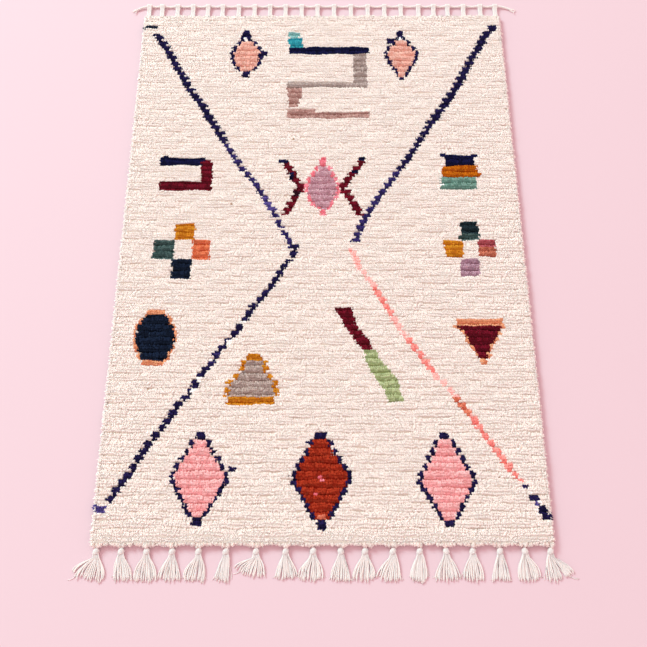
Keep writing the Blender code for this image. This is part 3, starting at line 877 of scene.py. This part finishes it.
def skirt_paths(centre_x, left, right, length, draw):
    """Paths of a tassel's hanging yarns, from inside its knot to their tips on the floor."""
    count = SKIRT_YARNS
    share = (np.arange(count) + 0.5) / count + draw.normal(0, PLACE_UNEVEN, count)
    layer = np.arange(count) % SKIRT_LAYERS
    root = centre_x + (share - 0.5) * SKIRT_ROOT_WIDTH
    tip = left + (right - left) * share
    own = length * (1 + draw.normal(0, LENGTH_UNEVEN, count))
    aside = tip - root
    forward = np.sqrt(np.maximum(own**2 - aside**2, (LEAST_REACH * own) ** 2))
    phase = draw.uniform(0, 2 * math.pi, count)
    curl = draw.normal(0, SKIRT_CURL, count)
    bulge = max(draw.normal(*SKIRT_BULGE), 0) * (2 * share - 1)
    paths = []
    for step in range(SKIRT_STEPS):
        if step < SKIRT_ROOT_STEPS:
            t = step / SKIRT_ROOT_STEPS
            x = centre_x + (root - centre_x) * (SKIRT_START_WIDTH + (1 - SKIRT_START_WIDTH) * t)
            out = SKIRT_START + (SKIRT_ROOT - SKIRT_START) * t
            y = np.full(count, FRINGE_WALL - out)
            z = 0.0060 + (layer - 1) * 0.0022 - 0.0014 * t
        else:
            along = (step - SKIRT_ROOT_STEPS) / (SKIRT_STEPS - 1 - SKIRT_ROOT_STEPS)
            x = root + aside * along * (1.5 - 0.5 * along)
            x += curl * along * np.sin(5.0 * along + phase) + bulge * math.sin(math.pi * along)
            y = FRINGE_WALL - SKIRT_ROOT - forward * along
            fall = (1 - along) ** 1.5
            z = YARN + 0.0002 + 0.0016 * fall + layer * (0.0009 + 0.0008 * fall)
        paths.append(np.stack((x, y, z), 1))
    return np.stack(paths, 1)


def wisp_paths(centre_x, left, right, length, draw):
    """Paths of the single thin yarns that stray to both sides of a tassel's skirt."""
    paths = []
    for wisp in range(WISPS):
        side = -1 if wisp % 2 else 1
        root = centre_x + side * 0.3 * SKIRT_ROOT_WIDTH
        tip = (right if side > 0 else left) + side * draw.uniform(*WISP_SPLAY)
        reach = length * draw.uniform(*WISP_LENGTH)
        bow = draw.normal(0, WISP_BOW)
        path = []
        for along in np.linspace(0, 1, WISP_STEPS):
            x = root + (tip - root) * along ** 1.2 + bow * math.sin(math.pi * along)
            y = FRINGE_WALL - SKIRT_ROOT - reach * math.sin(0.5 * math.pi * along)
            path.append((x, y, WISP_YARN + 0.0001 + 0.0040 * (1 - along) ** 2))
        paths.append(path)
    return paths


def ball_path(centre_x, draw):
    """The path of the yarn that is wound round a tassel's head as its knot."""
    steps = BALL_WRAPS * BALL_STEPS
    turn = np.linspace(0, 2 * math.pi * BALL_WRAPS, steps)
    share = np.linspace(-0.80, 0.80, steps)
    round_off = np.sqrt(1 - share**2)
    half_x, half_y, half_z = BALL_HALF
    x = (half_x - WRAP_YARN) * round_off * np.cos(turn)
    z = (half_z - WRAP_YARN) * round_off * np.sin(turn)
    tilt = math.tan(WRAP_TILT) * (1 if draw.random() < 0.7 else -1)
    y = -share * (half_y - WRAP_YARN) + tilt * x * (1 - share**2)
    middle = np.array((centre_x, FRINGE_WALL - BALL_OUT, half_z))
    return (np.stack((x, y, z), 1) + middle)[None]


def ball_core(centre_x):
    """A closed rounded core inside a tassel's knot, as yarn-like rings."""
    shares = np.linspace(-0.97, 0.97, CORE_RINGS)
    _, half_y, half_z = BALL_HALF
    y = FRINGE_WALL - BALL_OUT - shares * (half_y - 0.001)
    path = np.stack((np.full(CORE_RINGS, centre_x), y, np.full(CORE_RINGS, half_z)), 1)
    radii = (half_z - 0.0011) * np.sqrt(1 - shares**2)
    return yarns(path[None], radii[None], 10)


def build_tassel(number, row, material, draw):
    """The yarns of one tassel: its skirt, its stray yarns, its neck and its knot."""
    centre_x, left, right, length = row
    skirt = skirt_paths(centre_x, left, right, length, draw)
    taper = np.append(np.ones(SKIRT_STEPS - 1), TIP_RADIUS)
    out = np.linspace(0, NECK_LENGTH, 6)
    y = FRINGE_WALL + NECK_ROOT - out
    neck = [
        np.stack((centre_x + aside * (1 + out * NECK_SPREAD), y, high + out * NECK_SLOPE), 1)
        for aside, high in NECK_YARNS
    ]
    parts = [
        yarns(skirt, YARN * taper[None]),
        yarns(wisp_paths(centre_x, left, right, length, draw), WISP_YARN, 4),
        yarns(neck, NECK_YARN),
        yarns(ball_path(centre_x, draw), WRAP_YARN, 6, (0, 1, 0)),
        ball_core(centre_x),
    ]
    mesh = yarn_mesh(f"tassel_yarn_{number:02d}", parts)
    add_piece(mesh, material, "warp_wool", f"tassel_{number:02d}")


def build_loop(number, x, material, draw):
    """Yarns of warp that come out of the pile, go round the heading cord and back."""
    radius = CORD_RADIUS + LOOP_YARN + 0.0002
    paths = []
    for yarn in range(LOOP_YARNS):
        place = (yarn + 0.5) / LOOP_YARNS - 0.5
        wide, narrow = place * LOOP_WIDTH_AT_CORD, place * LOOP_WIDTH
        path = [(x + narrow * share, HEADING_WALL + out, z) for share, out, z in LOOP_OUT]
        for turn in np.radians(np.linspace(LOOP_TURN, -LOOP_TURN, 13)):
            path.append((
                x + wide + draw.normal(0, LOOP_UNEVEN),
                CORD_Y + radius * math.cos(turn),
                max(CORD_HEIGHT + radius * math.sin(turn), LOOP_YARN + 0.0001),
            ))
        path += [(x + narrow * share, HEADING_WALL + out, z) for share, out, z in LOOP_BACK]
        paths.append(path)
    mesh = yarn_mesh(f"loop_yarn_{number:02d}", [yarns(paths, LOOP_YARN, 6, (1, 0, 0.001))])
    add_piece(mesh, material, "warp_wool", f"warp_loop_{number:02d}")


def cord_places():
    """The middle of the heading cord: straight through each loop, slack between."""
    places = list(reversed(LEFT_TAIL))
    for i, x in enumerate(LOOP_PLACES):
        for end in (-1, 0, 1):
            places.append((x + end * HELD_HALF_LENGTH, CORD_Y, CORD_HEIGHT))
        if i < len(LOOP_PLACES) - 1:
            middle = (x + LOOP_PLACES[i + 1]) / 2
            y = CORD_Y + CORD_WANDER * wave(middle, 0.8, 2.0)
            places.append((middle, y, CORD_HEIGHT - CORD_SAG))
    return np.array(places + list(RIGHT_TAIL))


def build_cord(material):
    """The heading cord: three plies laid round each other, parting at the two free ends."""
    places = cord_places()
    at = np.zeros(len(places))
    at[1:] = np.cumsum(np.linalg.norm(np.diff(places, axis=0), axis=1))
    along = np.linspace(0, at[-1], CORD_STEPS)
    middle = np.stack([np.interp(along, at, places[:, k]) for k in range(3)], 1)
    soft = np.ones(5) / 5
    for k in range(3):
        middle[2:-2, k] = np.convolve(middle[:, k], soft, "valid")
    aside, over = aside_and_over(middle, (0, 0, 1))
    from_end = np.minimum(along, at[-1] - along)
    loose = np.clip(1 - from_end / LOOSE_LENGTH, 0, 1) ** 2
    paths = []
    for ply in range(3):
        angle = 2 * math.pi * (ply / 3 + along / PLY_TURN)
        path = middle + (np.cos(angle) * PLY_OUT)[:, None] * aside
        path += (np.sin(angle) * PLY_OUT)[:, None] * over
        path += (loose * (ply - 1) * LOOSE_SPREAD)[:, None] * aside
        path[:, 2] = np.maximum(path[:, 2], PLY_LOWEST)
        paths.append(path)
    radii = PLY_RADIUS * (1 - PLY_THINS * loose)
    mesh = yarn_mesh("cord_plies", [yarns(paths, radii[None])])
    add_piece(mesh, material, "cord_wool", "heading_cord")


def wool_shader(name, roughness, sheen, lit_within, reach, reach_scale):
    """A new matt wool material into which light goes a little way, with its nodes and links."""
    material = bpy.data.materials.new(name)
    material.use_nodes = True
    nodes, links = material.node_tree.nodes, material.node_tree.links
    shader = nodes["Principled BSDF"]
    shader.inputs["Roughness"].default_value = roughness
    shader.inputs["Specular IOR Level"].default_value = 0.1
    shader.inputs["Sheen Weight"].default_value = sheen
    shader.inputs["Sheen Roughness"].default_value = 0.6
    shader.inputs["Subsurface Weight"].default_value = lit_within
    shader.inputs["Subsurface Radius"].default_value = reach
    shader.inputs["Subsurface Scale"].default_value = reach_scale
    return material, nodes, links, shader


def grain_of_fibres(nodes, links, scale, low, high):
    """A fine uneven shade, as a value round 1, and the grain that it comes from."""
    place = nodes.new("ShaderNodeTexCoord")
    grain = nodes.new("ShaderNodeTexNoise")
    grain.inputs["Scale"].default_value = scale
    grain.inputs["Detail"].default_value = 3.0
    links.new(place.outputs["Object"], grain.inputs["Vector"])
    shade = nodes.new("ShaderNodeMapRange")
    shade.inputs["To Min"].default_value = low
    shade.inputs["To Max"].default_value = high
    links.new(grain.outputs["Fac"], shade.inputs["Value"])
    return shade.outputs["Result"], grain.outputs["Fac"]


def colour_from(nodes, links, shader, colour, shade):
    """Gives a shader a colour, made lighter or darker by a shade round 1."""
    tint = nodes.new("ShaderNodeVectorMath")
    tint.operation = "SCALE"
    links.new(colour, tint.inputs[0])
    links.new(shade, tint.inputs["Scale"])
    links.new(tint.outputs["Vector"], shader.inputs["Base Color"])


def bumps_from(nodes, links, shader, height, strength, distance):
    """Gives a shader small bumps."""
    bump = nodes.new("ShaderNodeBump")
    bump.inputs["Strength"].default_value = strength
    bump.inputs["Distance"].default_value = distance
    links.new(height, bump.inputs["Height"])
    links.new(bump.outputs["Normal"], shader.inputs["Normal"])


def pile_material():
    """Dyed wool with a fine grain of fibres."""
    material, nodes, links, shader = wool_shader(
        "dyed_wool", roughness=0.95, sheen=0.10, lit_within=0.7, reach=(1.0, 0.9, 0.8),
        reach_scale=0.0045,
    )
    shader.subsurface_method = "BURLEY"
    dye = nodes.new("ShaderNodeAttribute")
    dye.attribute_name = "dye"
    shade, grain = grain_of_fibres(nodes, links, scale=420.0, low=0.90, high=1.09)
    colour_from(nodes, links, shader, dye.outputs["Color"], shade)
    links.new(dye.outputs["Color"], shader.inputs["Sheen Tint"])
    bumps_from(nodes, links, shader, grain, strength=0.5, distance=0.0006)
    return material


def warp_material():
    """Undyed yarn of two plies, whose twist shows as slanting grooves."""
    material, nodes, links, shader = wool_shader(
        "warp_yarn", roughness=0.85, sheen=0.25, lit_within=0.45, reach=(1.0, 0.88, 0.8),
        reach_scale=0.003,
    )
    place = nodes.new("ShaderNodeUVMap")
    place.uv_map = "yarn"
    split = nodes.new("ShaderNodeSeparateXYZ")
    links.new(place.outputs["UV"], split.inputs["Vector"])
    turns = nodes.new("ShaderNodeMath")
    turns.operation = "MULTIPLY_ADD"
    turns.inputs[1].default_value = 2 * math.pi * PLY_GROOVES
    links.new(split.outputs["Y"], turns.inputs[0])
    round_yarn = nodes.new("ShaderNodeMath")
    round_yarn.operation = "MULTIPLY"
    round_yarn.inputs[1].default_value = 4 * math.pi
    links.new(split.outputs["X"], round_yarn.inputs[0])
    links.new(round_yarn.outputs["Value"], turns.inputs[2])
    ply = nodes.new("ShaderNodeMath")
    ply.operation = "SINE"
    links.new(turns.outputs["Value"], ply.inputs[0])
    height = nodes.new("ShaderNodeMapRange")
    height.inputs["From Min"].default_value = -1.0
    links.new(ply.outputs["Value"], height.inputs["Value"])
    ramp = nodes.new("ShaderNodeValToRGB")
    low, high = ramp.color_ramp.elements
    low.color = (*linear(WARP_SHADE), 1)
    high.color = (*linear(WARP_IVORY), 1)
    high.position = 0.45
    links.new(height.outputs["Result"], ramp.inputs["Fac"])
    shade, _ = grain_of_fibres(nodes, links, scale=700.0, low=0.90, high=1.06)
    colour_from(nodes, links, shader, ramp.outputs["Color"], shade)
    bumps_from(nodes, links, shader, height.outputs["Result"], strength=0.4, distance=0.0005)
    return material


def build_stage():
    """A plain pale pink floor, soft light from the upper left, and the camera."""
    bpy.ops.mesh.primitive_plane_add(size=12)
    floor = bpy.context.object
    floor.name = "floor"
    paper = bpy.data.materials.new("pink_floor")
    paper.use_nodes = True
    shader = paper.node_tree.nodes["Principled BSDF"]
    shader.inputs["Base Color"].default_value = (*linear(FLOOR_PINK), 1)
    shader.inputs["Roughness"].default_value = 0.9
    floor.data.materials.append(paper)

    world = bpy.data.worlds.new("soft_room")
    world.use_nodes = True
    room = world.node_tree.nodes["Background"]
    room.inputs["Color"].default_value = ROOM_LIGHT
    room.inputs["Strength"].default_value = ROOM_STRENGTH
    bpy.context.scene.world = world

    key = bpy.data.lights.new("window", "AREA")
    key.shape = "RECTANGLE"
    key.size = 4.5
    key.size_y = 3.6
    key.energy = WINDOW_POWER
    key.color = WINDOW_LIGHT
    lamp = bpy.data.objects.new("window", key)
    lamp.location = WINDOW_AT
    lamp.rotation_euler = (-Vector(WINDOW_AT)).to_track_quat("-Z", "Y").to_euler()
    bpy.context.scene.collection.objects.link(lamp)

    camera = bpy.data.cameras.new("camera")
    camera.lens = LENS
    camera.sensor_width = 36
    eye = bpy.data.objects.new("camera", camera)
    eye.location = CAMERA_AT
    eye.rotation_euler = (math.radians(90 - CAMERA_DOWN), 0, math.radians(CAMERA_TURN))
    bpy.context.scene.collection.objects.link(eye)
    bpy.context.scene.camera = eye
    bpy.context.scene.view_settings.view_transform = "Standard"


def main():
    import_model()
    chart = chart_of_knots()
    draw = np.random.default_rng(7)
    dyed = pile_material()
    body, ground = build_body(chart, dyed)
    for number, rows in enumerate(np.array_split(np.arange(KNOT_ROWS), ROW_PIECES), start=1):
        mesh = dyed_mesh(f"pile_rows_{number}", *knot_ends(chart, rows, draw))
        add_piece(mesh, dyed, "pile_wool")
    mesh = dyed_mesh("pile_edges", *edge_ends(chart, draw))
    add_piece(mesh, dyed, "pile_wool")

    warp = warp_material()
    for number, row in enumerate(TASSELS, start=1):
        build_tassel(number, row, warp, draw)
    for number, x in enumerate(LOOP_PLACES, start=1):
        build_loop(number, x, warp, draw)
    build_cord(warp)
    build_stage()


main()
